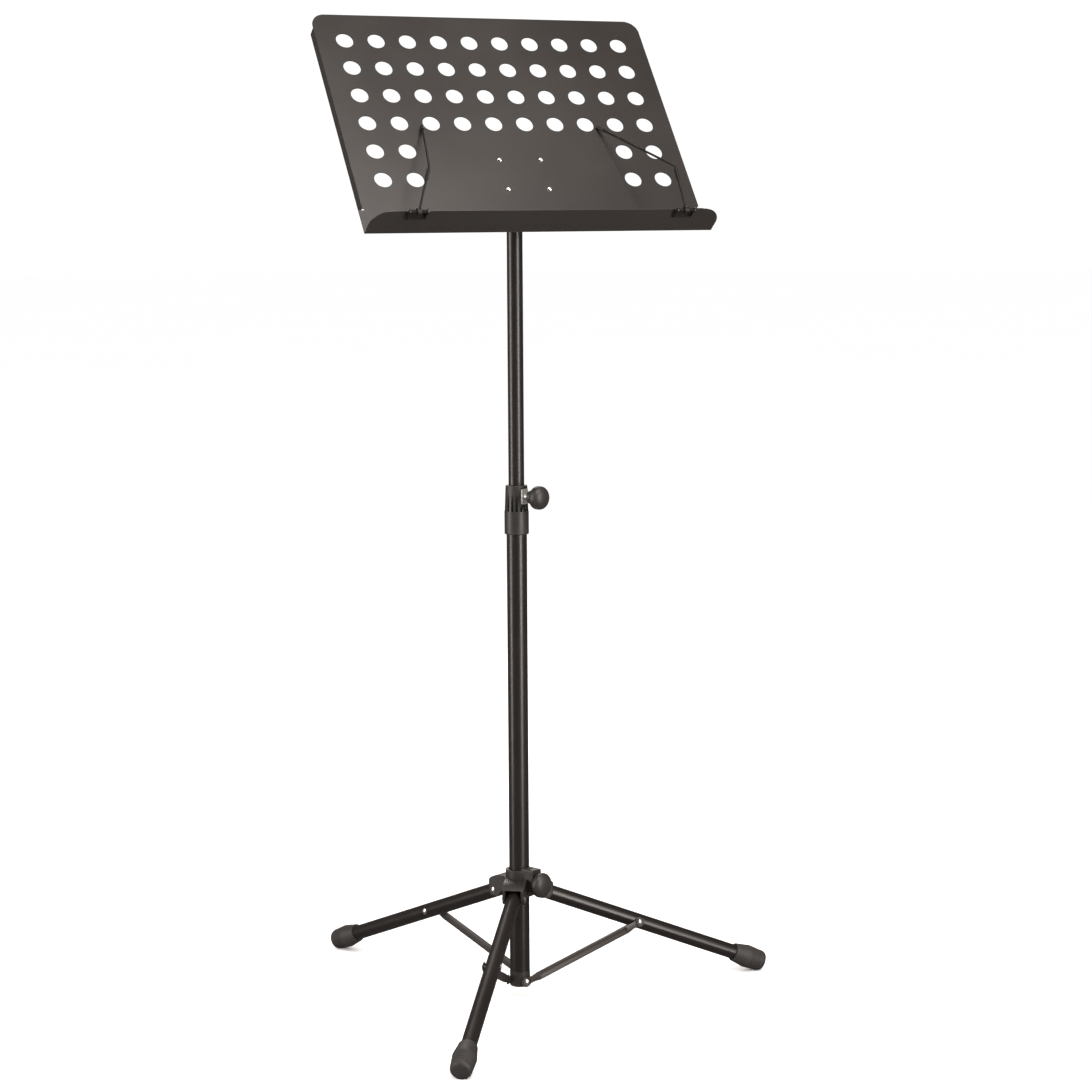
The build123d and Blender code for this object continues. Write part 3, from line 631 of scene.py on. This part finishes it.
# %% [markdown]
# ## Pressed struts
# Each leg is braced by a bar pressed from strip steel: a shallow channel runs along it, and the
# ends are flattened into round eyes for the rivets. The bar starts as a block. Its end faces are
# extruded and squeezed flat, its outer face is inset twice to sink the channel, and a turned disc
# at each end makes the eye.

# %% Struts
STRUT_BASE = Vector((4.0, -15.4, 22.0))
STRUT_TOP_R = 176.0
STRUT_TOP_Z = LEG_PIVOT_Z - (STRUT_TOP_R - LEG_PIVOT_R) * sin(LEG_SLOPE) / cos(LEG_SLOPE)
STRUT_TOP = Vector((STRUT_TOP_R, -11.0, STRUT_TOP_Z))
STRUT_RUN = STRUT_TOP - STRUT_BASE
BAR_THICK, BAR_WIDE, EYE_THICK = 3.6, 12.0, 2.0
BAR_TAPER, BAR_FLAT = 8.0, 12.0


def pressed_strut(name, length):
    deselect()
    full = length - 2 * (BAR_TAPER + BAR_FLAT)
    bpy.ops.mesh.primitive_cube_add(
        size=1,
        location=(length / 2 * MM, 0, BAR_THICK / 2 * MM),
        scale=(full * MM, BAR_WIDE * MM, BAR_THICK * MM),
    )
    bar = bpy.context.object
    bar.name = name
    bpy.ops.object.transform_apply(location=True, rotation=True, scale=True)
    for end in (-1, 1):
        pick_faces(bar, lambda face: face.normal.x * end > 0.9)
        bpy.ops.mesh.extrude_region_move(TRANSFORM_OT_translate={"value": (end * BAR_TAPER * MM, 0, 0)})
        bpy.ops.transform.resize(value=(1, 0.8, EYE_THICK / BAR_THICK), center_override=(0, 0, 0))
        bpy.ops.mesh.extrude_region_move(TRANSFORM_OT_translate={"value": (end * BAR_FLAT * MM, 0, 0)})
        bpy.ops.object.mode_set(mode="OBJECT")
    pick_faces(bar, lambda face: face.normal.z > 0.9 and face.center.z > 0.9 * BAR_THICK * MM)
    bpy.ops.mesh.inset(thickness=2.2 * MM)
    bpy.ops.mesh.inset(thickness=0.7 * MM, depth=-1.9 * MM)
    bpy.ops.object.mode_set(mode="OBJECT")
    soften(bar, 0.6, 3, 20)
    rim = [(6.6, 0.0), (7.0, 0.35), (7.0, 1.65), (6.6, 2.0), (2.7, 2.0)]
    eyes = []
    for place in (0, length):
        eye = turned(f"{name}_eye", rim, 48)
        stand_at(eye, Vector((place * MM, 0, 0)), Vector((0, 0, 1)))
        eyes.append(eye)
    return joined(bar, *eyes)


def leg_frame(azimuth):
    """Turns a leg's own plane, X outwards and Y to its left, to the leg's azimuth."""
    return Matrix.Rotation(azimuth - pi / 2, 4, "Z")


along = STRUT_RUN.normalized()
level = Vector((-along.z, 0, along.x)).normalized()
outer = along.cross(level).normalized()
strut_turn = Matrix((along, outer.cross(along), outer)).transposed().to_4x4()
strut = pressed_strut("front_pressed_strut", STRUT_RUN.length)
copies = {"front": strut}
for leg in ("right", "left"):
    copies[leg] = copy_of(strut, leg + "_pressed_strut")
for leg, piece in copies.items():
    deselect()
    bpy.context.view_layer.objects.active = piece
    piece.select_set(True)
    at_base = Matrix.Translation(STRUT_BASE * MM)
    piece.matrix_world = leg_frame(LEG_AZIMUTHS[leg]) @ at_base @ strut_turn
    bpy.ops.object.transform_apply(location=True, rotation=True, scale=True)
    # The struts wear the lighter coat with the painted sheen.
    hand_over(piece, leg + "_strut", "black_coat", strut_coat_painted_sheen, leg + "_strut")

# %% [markdown]
# ## Screws in the panel
# Four domed cross-head screws hold the bracket. Each is a turned dome with a shank, and the cross
# is two small blocks taken away with the Boolean modifier.

# %% Panel screws
SCREW_ACROSS, SCREW_UP = 30.0, 25.0
HEAD = [(2.0, -9.0), (2.1, -8.6), (2.1, 0.0), (4.0, 0.02), (4.05, 0.5)]
HEAD += [(3.7, 1.25), (2.9, 1.9), (1.7, 2.3), (0.5, 2.42)]


def cross_head_screw(name):
    screw = turned(name, HEAD, 40)
    for turn_z in (0, pi / 2):
        deselect()
        bpy.ops.mesh.primitive_cube_add(
            size=1,
            location=(0, 0, 2.2 * MM),
            rotation=(0, 0, turn_z),
            scale=(3.4 * MM, 0.7 * MM, 2.0 * MM),
        )
        blade = bpy.context.object
        cut = screw.modifiers.new("cross", "BOOLEAN")
        cut.object = blade
        cut.operation = "DIFFERENCE"
        deselect()
        bpy.context.view_layer.objects.active = screw
        screw.select_set(True)
        bpy.ops.object.modifier_apply(modifier="cross")
        bpy.data.objects.remove(blade)
    return screw


first_screw = cross_head_screw("panel_screws")
others = []
for number, (across, up) in enumerate([(-1, -1), (1, -1), (-1, 1), (1, 1)]):
    piece = first_screw if number == 0 else copy_of(first_screw, f"panel_screw_{number}")
    others.append((piece, on_desk(across * SCREW_ACROSS, up * SCREW_UP, 0), 0.4 * number))
for piece, place, spin in reversed(others):
    stand_at(piece, place, DESK_OUT, spin)
screws = joined(*[piece for piece, place, spin in others])
hand_over(screws, "desk", "steel", zinc, "desk_screws")

# %% [markdown]
# ## The last check
# Blender adds detail here and no size, so the whole object's box is taken as it came from the CAD
# and again at the end, and the difference is printed.

# %% Sizes before and after, and the end
visual_box = [list(corner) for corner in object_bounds()]
growth = [v - c for shown, cad in zip(visual_box, cad_box) for v, c in zip(shown, cad)]
print("grown by, mm:", [round(step / MM, 1) for step in growth])
